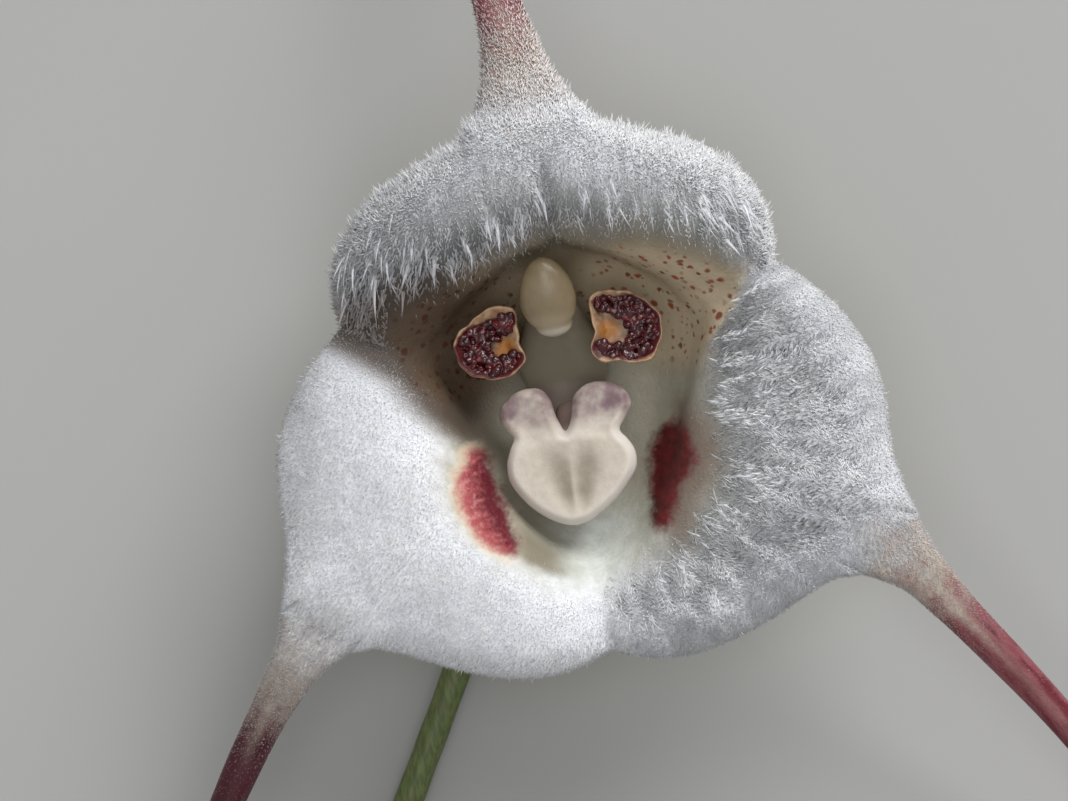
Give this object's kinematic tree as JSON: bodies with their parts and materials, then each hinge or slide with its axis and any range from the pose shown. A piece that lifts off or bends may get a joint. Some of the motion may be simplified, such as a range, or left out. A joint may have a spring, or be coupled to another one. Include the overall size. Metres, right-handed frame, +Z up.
{
  "type": "monkey face orchid flower",
  "caption": "Hairy white orchid flower whose fused sepals make a cup with long maroon tails; the small column, petals and lip inside look like a monkey's face.",
  "frame": {"origin": "on the surface the flower rests on, under the middle of its outline", "axes": "+Z up, out of the flower's throat; +Y from the throat towards the dorsal sepal; +X to the right of the face as seen from above"},
  "size_m": [0.0626, 0.0858, 0.0132],
  "materials": {
    "sepal": "velvety white, hairy inside; maroon tails",
    "petal": "glossy maroon warts on a tan cup",
    "lip": "smooth, waxy cream",
    "column": "waxy, translucent grey-green",
    "anther_cap": "smooth, waxy tan",
    "green": "matt green",
    "bract": "papery straw brown"
  },
  "bodies": {
    "root": {"sepal_cup": "sepal", "column": "column", "anther_cap": "anther_cap", "petal_right": "petal", "petal_left": "petal", "lip": "lip", "ovary": "green", "bract": "bract", "stem": "green"}
  },
  "joints": []
}
